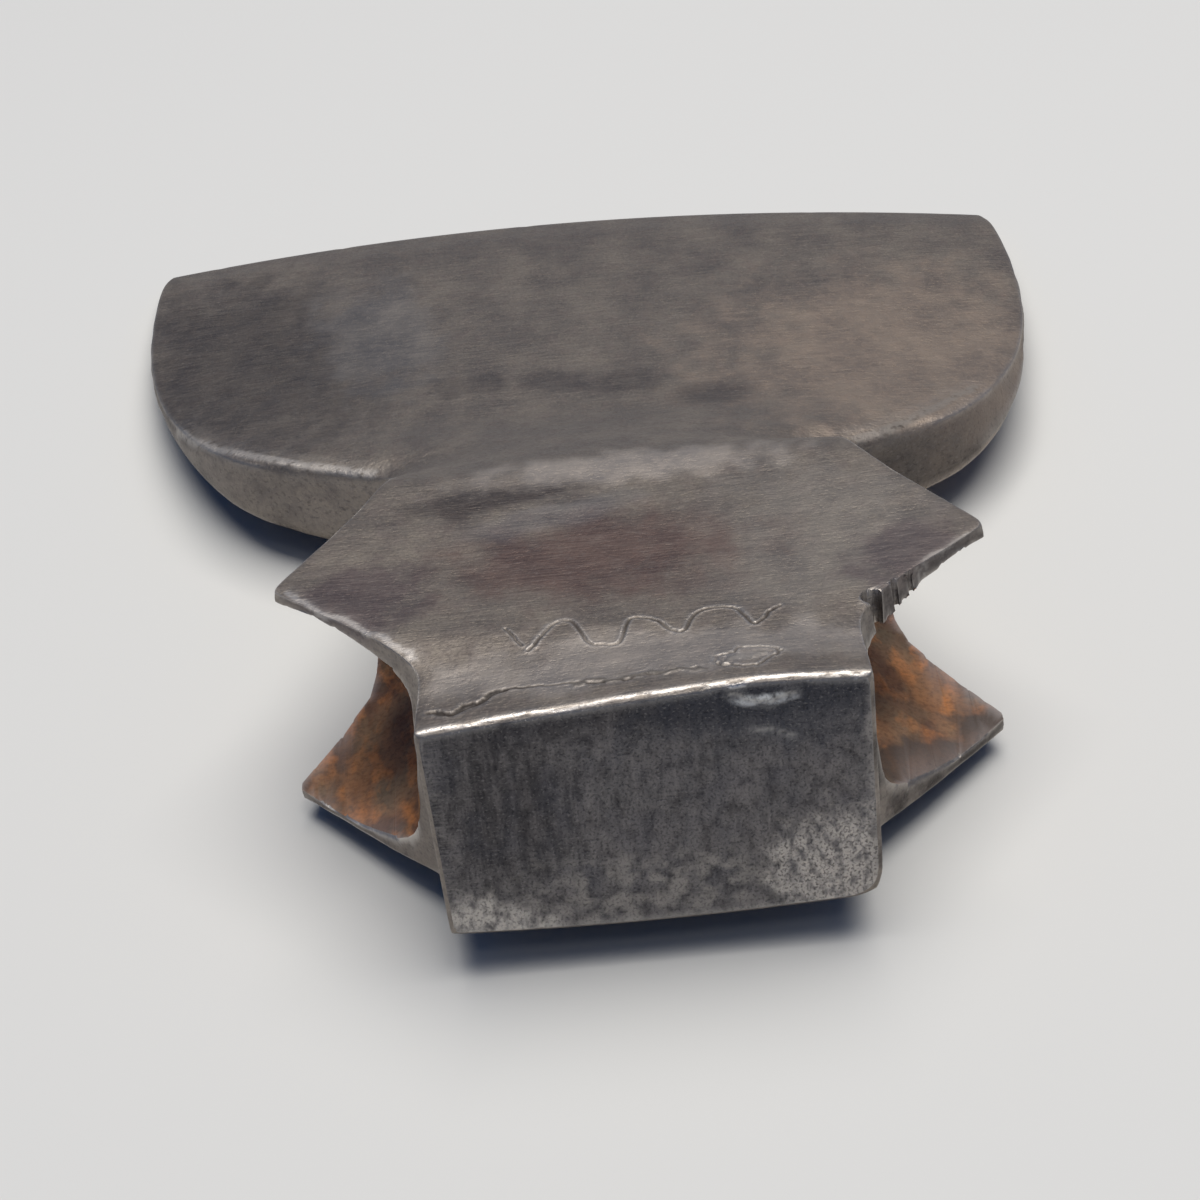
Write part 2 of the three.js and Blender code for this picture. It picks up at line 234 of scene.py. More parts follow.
# The blade's near left rim: a bright line painted there as the highlight on its chamfer.
LEFT_RIM_HIGHLIGHT = [(-70.0, 124.0), (-66.0, 116.0), (-60.0, 108.4), (-48.3, 98.0), (-37.0, 91.0)]
RIGHT_SHOULDER = [(37.1, 87.5), (44.3, 91.8), (53.3, 101.0), (58.0, 106.5)]
EAR_RIM = [(-47.0, 37.4), (-44.0, 33.6), (-39.6, 29.0), (-35.0, 23.8), (-31.6, 20.0), (-29.6, 17.0)]
GOUGE = [(11.0, 16.1), (12.5, 14.9), (14.7, 14.3), (17.0, 14.7), (18.8, 15.4)]
SCRATCH = [(13.6, 10.4), (16.1, 9.8), (18.5, 9.0)]

# %% Refine beside the lines and on two places of the poll
FINE_PLACES = [
    # lowest and highest x, y and z in the head's frame
    ((14, -1, -19), (30, 0.9, -3)),
    ((9, -1, 12), (21, 0.9, 17)),
]
FINE_LINES = [WAVE, STROKE, SEAM, CRACK, FLAKE]
LINE_REACHES = (2.0, 0.8)
CHEEK_HEIGHT = 10


def mesh_rows(collection, name, width, kind=np.float32):
    """One property of all of a mesh's points or edges, as rows of numbers."""
    flat = np.empty(len(collection) * width, dtype=kind)
    collection.foreach_get(name, flat)
    return flat.reshape(-1, width)


def in_places(points):
    """Which points lie in one of the fine places."""
    inside = [np.all((points >= low) & (points <= high), axis=1) for low, high in FINE_PLACES]
    return np.any(inside, axis=0)


def beside_lines(points, reach):
    """Which points of the upper cheek lie within this reach of a fine line."""
    closest = np.full(len(points), np.inf)
    for line in FINE_LINES:
        for start, end in zip(np.array(line), np.array(line[1:])):
            run = end - start
            along = np.clip((points[:, :2] - start) @ run / (run @ run), 0, 1)
            off = points[:, :2] - start - along[:, None] * run
            closest = np.minimum(closest, np.linalg.norm(off, axis=1))
    return (closest < reach) & (points[:, 2] > CHEEK_HEIGHT)


def refined(body, choose):
    """Halve the edges between the points that this function chooses."""
    chosen = choose(in_head_frame(mesh_rows(body.data.vertices, "co", 3)))
    fine = bmesh.new()
    fine.from_mesh(body.data)
    edges = [e for e in fine.edges if all(chosen[v.index] for v in e.verts)]
    bmesh.ops.subdivide_edges(fine, edges=edges, cuts=1, use_grid_fill=True)
    fine.to_mesh(body.data)
    fine.free()


refined(body, in_places)
for reach in LINE_REACHES:
    refined(body, lambda points: beside_lines(points, reach))
body.data.calc_loop_triangles()
print("refined:", len(body.data.loop_triangles), "triangles")

# %% [markdown]
# ## Where the wear is
# Handling and cleaning polish the edges of a tool bright and leave its hollows dark. A Pointiness node
# would find them only in one renderer. Measuring it on the mesh, from how far each point's neighbours lie
# below it, gives an attribute that any renderer can read.


# %% Measure how convex the surface is
FLAT_ENOUGH = 0.04
SHARP_ENOUGH = 0.24
FADE = 0.85
SHORTEST_STEP = 1e-9


def keep(mesh, name, values, kind="FLOAT", domain="POINT"):
    """Store one value for each point or face of the mesh."""
    made = mesh.attributes.get(name) or mesh.attributes.new(name, kind, domain)
    made.data.foreach_set("value", np.ascontiguousarray(values))


def neighbour_mean(values, ends, count):
    """For each point, the mean of the values at the other ends of its edges."""
    a, b = ends.T
    total = np.bincount(a, values[b], count) + np.bincount(b, values[a], count)
    return total / np.maximum(np.bincount(a, minlength=count) + np.bincount(b, minlength=count), 1)


def measure_wear(mesh, passes):
    """Store edge_wear: 0 on flats and in hollows, 1 on sharp edges, spread by so many passes."""
    points = mesh_rows(mesh.vertices, "co", 3)
    normals = mesh_rows(mesh.vertices, "normal", 3)
    ends = mesh_rows(mesh.edges, "vertices", 2, np.int32)
    a, b = ends.T
    step = points[b] - points[a]
    step /= np.maximum(np.linalg.norm(step, axis=1, keepdims=True), SHORTEST_STEP)
    count = len(points)
    number = np.maximum(np.bincount(a, minlength=count) + np.bincount(b, minlength=count), 1)
    below = np.bincount(b, (step * normals[b]).sum(1), count)
    below -= np.bincount(a, (step * normals[a]).sum(1), count)
    wear = np.clip((below / number - FLAT_ENOUGH) / (SHARP_ENOUGH - FLAT_ENOUGH), 0, 1)
    for _ in range(passes):
        wear = np.maximum(wear * FADE, neighbour_mean(wear, ends, count))
    keep(mesh, "edge_wear", wear.astype(np.float32))
    return wear


wear = measure_wear(body.data, passes=1)
print("worn edges:", round(100 * float((wear > 0).mean()), 1), "percent of the points")

# %% Mark the places that take dents
PITTED_PLACES = [
    # how badly, and the centre and reach in the head's frame
    (1.0, (21, 0, -11), (12, 6, 11)),
    (1.0, (27, 0, -2), (4, 6, 15)),
    (0.7, (4, 6, 17), (26, 6, 6)),
    (0.6, (-8, 0, -13), (18, 6, 5)),
]
PIT_HARDNESS = 1.6
SIDE_STEEPNESS = 2.2
HAMMERED_START, HAMMERED_FULL = 2, 8
HAMMERED_LAST, HAMMERED_END = 170, 190

head_points = in_head_frame(mesh_rows(body.data.vertices, "co", 3))
regions = mesh_rows(body.data.polygons, "material_index", 1, np.int32).ravel()
keep(body.data, "region", regions, "INT", "FACE")


def near(points, centre, reach):
    """1 at the centre, falling to 0 at this reach along each axis."""
    apart = np.linalg.norm((points - np.array(centre)) / np.array(reach), axis=1)
    return np.clip(PIT_HARDNESS * (1 - apart), 0, 1)


pitted = np.maximum.reduce([
    badly * near(head_points, centre, reach) for badly, centre, reach in PITTED_PLACES
])
keep(body.data, "pitted", pitted.astype(np.float32))
# The side faces, which the outside steel paints lighter, and darker on the right, as painted light and
# shade.
upright = mesh_rows(body.data.vertices, "normal", 3) @ np.array(head_up)
keep(body.data, "side", np.clip(1 - SIDE_STEEPNESS * np.abs(upright), 0, 1).astype(np.float32))
station = head_points[:, 1]
behind_poll = np.clip((station - HAMMERED_START) / (HAMMERED_FULL - HAMMERED_START), 0, 1)
before_edge = np.clip((HAMMERED_END - station) / (HAMMERED_END - HAMMERED_LAST), 0, 1)
keep(body.data, "hammered", (behind_poll * before_edge * (1 - wear)).astype(np.float32))
print("pitted:", round(100 * float((pitted > 0).mean()), 1), "percent of the points")

# %% [markdown]
# ## One way to add nodes
# Materials and Geometry Nodes trees are both built from nodes. This one function adds any node, sets its
# options, fills or links its inputs, and gives back one of its outputs.


# %% Add a node
def add(tree, kind, inputs=None, out=0, **settings):
    """Add a node, fill or link its inputs, and give back one output, or none where out is None."""
    node = tree.nodes.new(kind)
    for name, value in settings.items():
        setattr(node, name, value)
    for key, value in (inputs or {}).items():
        socket = node.inputs[key]
        if isinstance(value, bpy.types.NodeSocket):
            tree.links.new(value, socket)
        else:
            socket.default_value = value
    return None if out is None else node.outputs[out]


def hex_colour(text):
    """An sRGB hex colour as the linear colour that Blender's sockets take."""
    parts = [int(text[i:i + 2], 16) / 255 for i in (1, 3, 5)]
    return (*(c / 12.92 if c <= 0.04045 else ((c + 0.055) / 1.055) ** 2.4 for c in parts), 1)


# %% [markdown]
# ## Patterns measured in millimetres
# Every finish below is laid out in the head's frame, so that a stain sits at its measured place. The
# Object coordinates are in metres and tilted with the head; one Mapping node turns them back.
# Painted image maps would be the other way, but these patterns stay sharp from any distance.

# %% Patterns
RAGGEDNESS = 0.9
PATCH_EDGE = 1.4
head_place, head_turn, head_scale = TO_HEAD.decompose()


def head_coordinates(tree):
    """The head's own coordinates, in millimetres."""
    where = add(tree, "ShaderNodeTexCoord", out="Object")
    placed = {"Vector": where, "Location": head_place, "Scale": head_scale}
    placed["Rotation"] = head_turn.to_euler()
    return add(tree, "ShaderNodeMapping", placed)


def grain(tree, where, size, low=0.35, high=0.65, detail=3.0, tilt=(0, 0, 0)):
    """Noise whose blots have this size in mm along each axis, spread to run from 0 to 1."""
    spread = add(tree, "ShaderNodeMapping", {"Vector": where, "Rotation": tilt}, vector_type="TEXTURE")
    scaled = add(tree, "ShaderNodeMapping", {"Vector": spread, "Scale": [1 / s for s in size]})
    noise = add(tree, "ShaderNodeTexNoise", {"Vector": scaled, "Scale": 1.0, "Detail": detail})
    return add(tree, "ShaderNodeMapRange", {"Value": noise, "From Min": low, "From Max": high})


def patch(tree, where, ragged, centre, reach, soft=0.35, tilt=(0, 0, 0)):
    """1 inside an ellipse of this centre and reach in mm, 0 outside, with a ragged soft edge."""
    placed = {"Vector": where, "Location": centre, "Scale": reach, "Rotation": tilt}
    local = add(tree, "ShaderNodeMapping", placed, vector_type="TEXTURE")
    apart = add(tree, "ShaderNodeVectorMath", {0: local}, out="Value", operation="LENGTH")
    torn = add(tree, "ShaderNodeMath", {0: ragged, 1: RAGGEDNESS, 2: apart}, operation="MULTIPLY_ADD")
    ends = {
        "Value": torn,
        "From Min": PATCH_EDGE - soft,
        "From Max": PATCH_EDGE + soft,
        "To Min": 1.0,
        "To Max": 0.0,
    }
    return add(tree, "ShaderNodeMapRange", ends, interpolation_type="SMOOTHSTEP")


def painted(tree, ground, coats):
    """A ground colour under coats, each a colour, a mask and how strongly it covers."""
    colour = hex_colour(ground)
    for cover, mask, strength in coats:
        amount = add(tree, "ShaderNodeMath", {0: mask, 1: strength}, operation="MULTIPLY")
        colour = add(
            tree, "ShaderNodeMix", {0: amount, 6: colour, 7: hex_colour(cover)}, out=2, data_type="RGBA"
        )
    return colour


def summed(tree, start, parts):
    """A start value plus each mask times its amount."""
    total = start
    for mask, amount in parts:
        total = add(tree, "ShaderNodeMath", {0: mask, 1: amount, 2: total}, operation="MULTIPLY_ADD")
    return total


def finish_material(name, colour_of, metallic):
    """A new material with its tree, coordinates and the three masks that the mesh carries."""
    material = bpy.data.materials.new(name)
    material.use_nodes = True
    tree = material.node_tree
    where = head_coordinates(tree)
    worn = add(tree, "ShaderNodeAttribute", out="Fac", attribute_name="edge_wear")
    dirt = add(tree, "ShaderNodeAttribute", out="Fac", attribute_name="cut")
    rubbed_and_highlit = add(tree, "ShaderNodeAttribute", out="Fac", attribute_name="bare")
    patchy = grain(tree, where, (1.5, 1.1, 1.1), 0.24, 0.46, 4)
    bare = add(tree, "ShaderNodeMath", {0: rubbed_and_highlit, 1: patchy}, operation="MULTIPLY")
    colour, roughness, height = colour_of(tree, where, worn, dirt, bare)
    shader = tree.nodes["Principled BSDF"]
    tree.links.new(colour, shader.inputs["Base Color"])
    tree.links.new(roughness, shader.inputs["Roughness"])
    shader.inputs["Metallic"].default_value = metallic
    relief = add(tree, "ShaderNodeBump", {"Height": height, "Distance": MM, "Strength": 1.0})
    tree.links.new(relief, shader.inputs["Normal"])
    print(name, "has", len(tree.nodes), "nodes")
    return material


# %% [markdown]
# ## Forged steel with a thin patina
# Carbon steel, forged, drawn out and brushed. Scale and old oil leave it a warm grey that is brown or
# purplish in patches, satin rather than mirror-bright, with brush lines about a third of a millimetre
# apart along the haft hole. Wherever it is handled the edges are burnished to pale bare metal. The film of
# oxide lets most of the metal's shine through, so the material is metallic, but not fully.

# %% Patinated steel
METAL_UNDER_FILM = 0.85
ROW_ON_BLADE = [(-22, 122, 5), (-9, 121, 5), (4, 117, 5), (17, 109, 5)]


def forged_finish(tree, where, worn, dirt, bare):
    """Colour, roughness and height of the brushed and patinated outside."""
    ragged = grain(tree, where, (5, 8, 5), 0.25, 0.75, 6)
    mottle = grain(tree, where, (8, 13, 8), 0.38, 0.68, 5)
    blots = grain(tree, where, (1.9, 3.2, 1.9), 0.46, 0.7, 5)
    speck = grain(tree, where, (0.8, 0.6, 0.6), 0.55, 0.7, 2)
    glint = grain(tree, where, (1.1, 0.4, 0.4), 0.56, 0.72, 2)
    brushed = grain(tree, where, (6, 0.35, 0.35), 0.34, 0.66, 4)
    strokes = grain(tree, where, (5, 0.8, 0.8), 0.35, 0.7, 4, (0, 0, math.radians(9)))
    fine = grain(tree, where, (0.4, 0.6, 0.4), 0.3, 0.7, 4)
    side = add(tree, "ShaderNodeAttribute", out="Fac", attribute_name="side")

    def spot(centre, reach, soft=0.35, degrees=0):
        """A ragged patch, turned by so many degrees in the plane of the cheek."""
        return patch(tree, where, ragged, centre, reach, soft, (0, 0, math.radians(degrees)))

    # painted shade on the side faces of the right half and of the right ear's flank
    right_half = spot((75, 90, 0), (70, 120, 60), 0.2)
    painted_right_side_shade = add(tree, "ShaderNodeMath", {0: right_half, 1: side}, operation="MULTIPLY")
    ear_flank = spot((41, 24, -4), (17, 13, 18), 0.3)
    painted_flank_shade = add(tree, "ShaderNodeMath", {0: ear_flank, 1: side}, operation="MULTIPLY")
    low_left = spot((-40, 27, -12), (15, 12, 8))
    bright_rim = add(tree, "ShaderNodeMath", {0: worn, 1: low_left}, operation="MULTIPLY")
    purple_cheek = spot((-4, 41, 16), (20, 12, 14), 0.6)
    purple_right = spot((40, 31, 14), (11, 10, 10), degrees=30)
    purple_ear = spot((-38, 33, 14), (9, 13, 10), degrees=-20)
    # painted sheen: a grey-blue arc of reflected light above the brown patch
    blue_sheen_arc = spot((-10, 54, 16), (13, 4, 9), 0.45, 20)
    dark_arc = spot((-17, 61, 16), (15, 3.5, 9), 0.45, 14)
    # painted highlight: the convex brow, where the cheek turns into the blade, painted pale as if lit
    pale_brow_highlight = spot((2, 68, 16), (22, 5.5, 12), 0.5)
    warm_cheek = spot((26, 40, 15), (17, 22, 14))
    dark_horn = spot((-58, 143, 4), (24, 40, 20), 0.45, 14)
    pale_blade = spot((-37, 150, 4), (10, 26, 20), 0.45, 6)
    tan_blade = spot((48, 122, 4), (30, 36, 20), 0.5)
    pale_poll_band = spot((3, 11, 17), (34, 6.5, 9), 0.4)
    blotches = [spot(centre, (6.5, 5, 12), 0.4) for centre in ROW_ON_BLADE]
    colour = painted(tree, "#857b70", [
        ("#9c9284", mottle, 0.45),
        ("#64595a", blots, 0.36),
        ("#4a4340", fine, 0.38),
        ("#a39c92", warm_cheek, 0.3),
        ("#b4aca4", pale_poll_band, 0.45),
        ("#634a44", purple_cheek, 0.72),
        ("#57484b", purple_ear, 0.6),
        ("#5d5052", purple_right, 0.6),
        # painted sheen above the brown patch
        ("#8f9091", blue_sheen_arc, 0.25),
        ("#3d3534", dark_arc, 0.65),
        # painted highlight on the convex brow
        ("#c4b9ad", pale_brow_highlight, 0.6),
        ("#423d3b", dark_horn, 0.6),
        ("#8f8a85", pale_blade, 0.45),
        ("#b19c88", tan_blade, 0.5),
        *[("#4c4644", mask, 0.45) for mask in blotches],
        # side faces painted lighter, and those of the right half and the right ear's flank painted darker:
        # painted light and shade
        ("#a59d97", side, 0.27),
        ("#35302e", painted_right_side_shade, 0.75),
        ("#2f2826", painted_flank_shade, 0.75),
        ("#a29b94", brushed, 0.13),
        ("#3f3836", speck, 0.16),
        ("#b5aea7", glint, 0.12),
        ("#d9d3cb", worn, 0.5),
        ("#f4efe8", bright_rim, 0.8),
        ("#1f1a18", dirt, 0.8),
        # bare mask: rubbed bare metal, and along the poll's top edge and the blade's near left rim a
        # painted highlight
        ("#e6dfd6", bare, 0.7),
    ])
    roughness = summed(tree, 0.44, [
        (mottle, 0.1), (blots, 0.08), (brushed, 0.1), (speck, 0.12), (worn, -0.16), (dirt, 0.3),
        (bare, -0.14),
    ])
    height = summed(tree, 0.0, [
        (brushed, 0.01), (strokes, 0.014), (blots, 0.05), (speck, -0.03), (fine, 0.012),
    ])
    return colour, roughness, height


forged = finish_material("patinated_forged_steel", forged_finish, METAL_UNDER_FILM)

# %% [markdown]
# ## The poll face
# The hammer face was dressed on a belt and has darkened since. It is the darkest steel here: faint upright
# streaks, short strokes across its left border, a bluish cast under its top edge that is a painted
# reflection of the floor's bluish shadow, and a lower right corner that is beaten bright and pitted.


# %% Dressed poll steel
def poll_finish(tree, where, worn, dirt, bare):
    """Colour, roughness and height of the belted and darkened poll face."""
    ragged = grain(tree, where, (3.4, 3.4, 3.4), 0.25, 0.75, 8)
    mottle = grain(tree, where, (7, 7, 9), 0.4, 0.7, 6)
    blots = grain(tree, where, (1.8, 1.8, 2.4), 0.45, 0.68, 5)
    upright = grain(tree, where, (0.9, 4, 7), 0.4, 0.7, 4)
    across = grain(tree, where, (3, 3, 0.35), 0.42, 0.66, 2)
    speck = grain(tree, where, (0.38, 0.38, 0.42), 0.5, 0.68, 4)
    glint = grain(tree, where, (0.5, 0.5, 0.36), 0.56, 0.7, 2)

    def spot(centre, reach, soft=0.35, degrees=0):
        """A ragged patch, turned by so many degrees in the plane of the poll face."""
        return patch(tree, where, ragged, centre, reach, soft, (0, math.radians(degrees), 0))

    # painted reflection: a bluish tint over the face and under its top edge, for the floor's bluish shadow
    # mirrored in it
    blue_reflection_top = spot((16, 0, 13.5), (17, 20, 6), 0.6)
    cold_reflection = grain(tree, where, (5, 5, 6), 0.46, 0.66, 5)
    dark_top = spot((0, 0, 15.5), (36, 20, 4), 0.6)
    dark_left = spot((-20, 0, 3), (9, 20, 13), 0.6)
    torn = grain(tree, where, (3.2, 3.2, 2.6), 0.44, 0.58, 9)
    torn_finely = grain(tree, where, (1.2, 1.2, 1.9), 0.34, 0.54, 6)
    right_strip = spot((29.4, 0, 1), (1.8, 20, 19), 0.3)
    left_strip = spot((-29.2, 0, 0), (2.4, 20, 20), 0.5)
    broken_by = {
        # a place, and the pattern that breaks it up
        "beaten": (spot((24.5, 0, -12.5), (9.5, 20, 9), 0.5), torn_finely),
        "low_patches": (spot((-1, 0, -12.5), (19, 20, 5.5), 0.6), torn),
        "low_left": (spot((-23, 0, -15), (9, 20, 3), 0.5, 20), torn_finely),
        "smear": (spot((15.2, 0, 14.7), (3.4, 20, 0.75), 0.5), torn_finely),
        "strokes": (left_strip, across),
    }
    broken = {
        name: add(tree, "ShaderNodeMath", {0: place, 1: pattern}, operation="MULTIPLY")
        for name, (place, pattern) in broken_by.items()
    }
    flecks = add(tree, "ShaderNodeMath", {0: speck, 1: broken["beaten"]}, operation="MULTIPLY")
    colour = painted(tree, "#6a6767", [
        ("#8e8885", mottle, 0.6),
        ("#2a282b", dark_left, 0.62),
        ("#98928f", upright, 0.36),
        ("#312f31", blots, 0.58),
        # painted reflection of the floor's bluish shadow
        ("#3e4250", cold_reflection, 0.25),
        ("#2a282c", dark_top, 0.55),
        ("#373c47", blue_reflection_top, 0.5),
        ("#aba59d", broken["low_patches"], 0.6),
        ("#d8d0c6", broken["beaten"], 0.85),
        ("#aaa49e", right_strip, 0.6),
        ("#cfc8bf", broken["low_left"], 0.9),
        ("#eef0f2", broken["smear"], 0.7),
        ("#a39d97", broken["strokes"], 0.3),
        ("#262325", speck, 0.42),
        ("#a9a4a0", glint, 0.25),
        ("#2f2a28", flecks, 0.35),
        ("#ded9d2", worn, 0.7),
        ("#2a2625", dirt, 0.8),
        # bare mask: rubbed bare metal, and along the poll's top edge a painted highlight
        ("#f6f2ec", bare, 0.95),
    ])
    roughness = summed(tree, 0.5, [
        (mottle, 0.08), (speck, 0.12), (broken["beaten"], 0.08), (worn, -0.2), (bare, -0.16),
    ])
    height = summed(tree, 0.0, [
        (upright, 0.02), (broken["strokes"], 0.02), (flecks, -0.08), (speck, -0.05), (glint, 0.03),
        (blots, -0.03),
    ])
    return colour, roughness, height


dressed = finish_material("dressed_poll_steel", poll_finish, METAL_UNDER_FILM)

# %% [markdown]
# ## Rust inside the eye
# The haft kept the walls of the eye damp, and nobody could brush them. Iron oxide is no metal to look at:
# it is matt, powdery and uneven, orange where it is young and nearly black where it is old. At the very
# mouths, out on the ears, it has been rubbed down to dark steel. No line is cut into these walls, so this
# finish leaves the masks for cuts, and for bare metal and painted highlights, unused.

# %% Rusted steel
NO_METAL = 0.0


def rust_finish(tree, where, worn, _dirt, _bare_and_highlight):
    """Colour, roughness and height of the rusted walls."""
    ragged = grain(tree, where, (5, 5, 5), 0.25, 0.75, 5)
    clouds = grain(tree, where, (6, 12, 6), 0.42, 0.62, 5)
    crust = grain(tree, where, (3.4, 6.6, 3), 0.5, 0.64, 6)
    olive = grain(tree, where, (5, 10, 5), 0.5, 0.66, 5)
    grit = grain(tree, where, (0.7, 0.7, 0.6), 0.45, 0.7, 3)
    young = patch(tree, where, ragged, (0, 40, -10), (44, 26, 9), 0.4)
    mouth = [patch(tree, where, ragged, (side * 58, 40, 0), (14, 36, 40), 0.4) for side in (-1, 1)]
    near_rim = patch(tree, where, ragged, (40, 27.5, -12), (19, 4.6, 12), 0.3, (0, 0, math.radians(40)))
    colour = painted(tree, "#6f4f3c", [
        ("#b98254", clouds, 0.75),
        ("#75705a", olive, 0.5),
        ("#ee9850", crust, 0.55),
        ("#caa27a", young, 0.3),
        ("#4a3429", grit, 0.35),
        *[("#4f4540", mask, 0.9) for mask in mouth],
        ("#4f443c", near_rim, 0.9),
        ("#cfc6c1", worn, 0.5),
    ])
    roughness = summed(tree, 0.88, [(grit, 0.08), (worn, -0.3)])
    height = summed(tree, 0.0, [(crust, 0.12), (grit, 0.07), (clouds, 0.1)])
    return colour, roughness, height


rusted = finish_material("rusted_eye_steel", rust_finish, NO_METAL)


# %% [markdown]
# ## Marks that follow a rule
# The hammer left shallow dents all over, the edges are nicked, and the beaten corner of the poll is
# pitted. All three are the same thing at three sizes: a hollow round each of many scattered points. Real
# displacement, rather than bump alone, makes the light break over them as it does over real steel.
# Geometry Nodes can scatter the points evenly and measure how far the surface is from the nearest one.


# %% A new tree with named inputs
def new_tree(name, inputs):
    """A Geometry Nodes tree with these inputs, and its node that gives them out."""
    tree = bpy.data.node_groups.new(name, "GeometryNodeTree")
    tree.interface.new_socket("Geometry", in_out="OUTPUT", socket_type="NodeSocketGeometry")
    tree.interface.new_socket("Geometry", in_out="INPUT", socket_type="NodeSocketGeometry")
    for label, kind in inputs:
        tree.interface.new_socket(label, in_out="INPUT", socket_type="NodeSocket" + kind)
    return tree, tree.nodes.new("NodeGroupInput").outputs


# %% Dents round scattered points
dents, given = new_tree("dents", [
    ("Zone", "String"), ("Spacing", "Float"), ("Radius", "Float"), ("Depth", "Float"), ("Seed", "Int"),
])
MOST_PER_SQUARE_METRE = 2e6
zone = add(dents, "GeometryNodeInputNamedAttribute", {"Name": given["Zone"]}, data_type="FLOAT")
scattered = add(
    dents,
    "GeometryNodeDistributePointsOnFaces",
    {
        "Mesh": given["Geometry"],
        "Distance Min": given["Spacing"],
        "Density Max": MOST_PER_SQUARE_METRE,
        "Density Factor": zone,
        "Seed": given["Seed"],
    },
    distribute_method="POISSON",
)
apart = add(dents, "GeometryNodeProximity", {0: scattered}, out="Distance", target_element="POINTS")
ends = {"Value": apart, "From Max": given["Radius"], "To Min": given["Depth"], "To Max": 0.0}
hollow = add(dents, "ShaderNodeMapRange", ends, interpolation_type="SMOOTHSTEP")
inward = add(dents, "ShaderNodeMath", {0: hollow, 1: zone}, operation="MULTIPLY")
outward = add(dents, "ShaderNodeMath", {0: inward, 1: -1.0}, operation="MULTIPLY")
normal = add(dents, "GeometryNodeInputNormal")
offset = add(dents, "ShaderNodeVectorMath", {0: normal, "Scale": outward}, operation="SCALE")
dented = add(dents, "GeometryNodeSetPosition", {"Geometry": given["Geometry"], "Offset": offset})
add(dents, "NodeGroupOutput", {0: dented}, out=None)

# %% [markdown]
# ## Marks that follow a line
# The wavy line, the seam and the gouges each follow a line. A chisel pushes steel up on both sides of its
# groove. Modelling each line as a swept tube and cutting it out would tear the mesh. Pressing the surface
# down near a line, and up a little beside it, keeps it whole. The tree also stores where it cut, and where
# it left bare metal and where it paints a highlight, for the materials.

# %% Press a line into the surface
pressed, given = new_tree("pressed_line", [
    ("Line", "Object"), ("Half Width", "Float"), ("Depth", "Float"), ("Lip", "Float"), ("Bare And Highlight", "Float"),
])
line = add(pressed, "GeometryNodeObjectInfo", {"Object": given["Line"]}, out="Geometry")
apart = add(pressed, "GeometryNodeProximity", {0: line}, out="Distance", target_element="EDGES")
across = add(pressed, "ShaderNodeMath", {0: apart, 1: given["Half Width"]}, operation="DIVIDE")
LIP_SHINE = 0.08
RAMPS = {
    # where each begins and ends, in half widths from the line, and its values there
    "groove": {"From Min": 0.25, "From Max": 1.0, "To Min": 1.0, "To Max": 0.0},
    "lip_rise": {"From Min": 0.7, "From Max": 1.3, "To Min": 0.0, "To Max": 1.0},
    "lip_fall": {"From Min": 1.3, "From Max": 2.6, "To Min": 1.0, "To Max": 0.0},
}
ramps = {
    name: add(pressed, "ShaderNodeMapRange", {"Value": across, **ends}, interpolation_type="SMOOTHSTEP")
    for name, ends in RAMPS.items()
}
groove = ramps["groove"]
lip = add(pressed, "ShaderNodeMath", {0: ramps["lip_rise"], 1: ramps["lip_fall"]}, operation="MULTIPLY")
raised = add(pressed, "ShaderNodeMath", {0: lip, 1: given["Lip"]}, operation="MULTIPLY")
sunk = add(pressed, "ShaderNodeMath", {0: groove, 1: given["Depth"]}, operation="MULTIPLY")
height = add(pressed, "ShaderNodeMath", {0: raised, 1: sunk}, operation="SUBTRACT")
normal = add(pressed, "GeometryNodeInputNormal")
offset = add(pressed, "ShaderNodeVectorMath", {0: normal, "Scale": height}, operation="SCALE")
shape = add(pressed, "GeometryNodeSetPosition", {"Geometry": given["Geometry"], "Offset": offset})
covered = add(pressed, "ShaderNodeMath", {0: 1.0, 1: given["Bare And Highlight"]}, operation="SUBTRACT")
dark = add(pressed, "ShaderNodeMath", {0: groove, 1: covered}, operation="MULTIPLY")
shown = add(pressed, "ShaderNodeMath", {0: groove, 1: given["Bare And Highlight"]}, operation="MULTIPLY")
faint = add(pressed, "ShaderNodeMath", {0: lip, 1: LIP_SHINE}, operation="MULTIPLY")
bright = add(pressed, "ShaderNodeMath", {0: faint, 1: shown}, operation="MAXIMUM")
for stored, value in (("cut", dark), ("bare", bright)):
    before = add(pressed, "GeometryNodeInputNamedAttribute", {"Name": stored}, data_type="FLOAT")
    most = add(pressed, "ShaderNodeMath", {0: before, 1: value}, operation="MAXIMUM")
    mark = {"Geometry": shape, "Name": stored, "Value": most}
    shape = add(pressed, "GeometryNodeStoreNamedAttribute", mark, data_type="FLOAT", domain="POINT")
add(pressed, "NodeGroupOutput", {0: shape}, out=None)

# %% [markdown]
# Each measured line is smoothed, made a little unsteady like any hand-cut line, and dropped on the body:
# straight down on the cheek, and straight in on the poll face.

# %% Lines that lie on the body
view_layer = bpy.context.view_layer
view_layer.update()
surface = BVHTree.FromObject(body, view_layer.depsgraph)
STEPS_BETWEEN = 8
OVER_CHEEK = 60
BEFORE_POLL = -30
CAST_FROM = {
    "cheek": (lambda a, b: (a, b, OVER_CHEEK), (0, 0, -1)),
    "poll": (lambda a, b: (a, BEFORE_POLL, b), (0, 1, 0)),
}


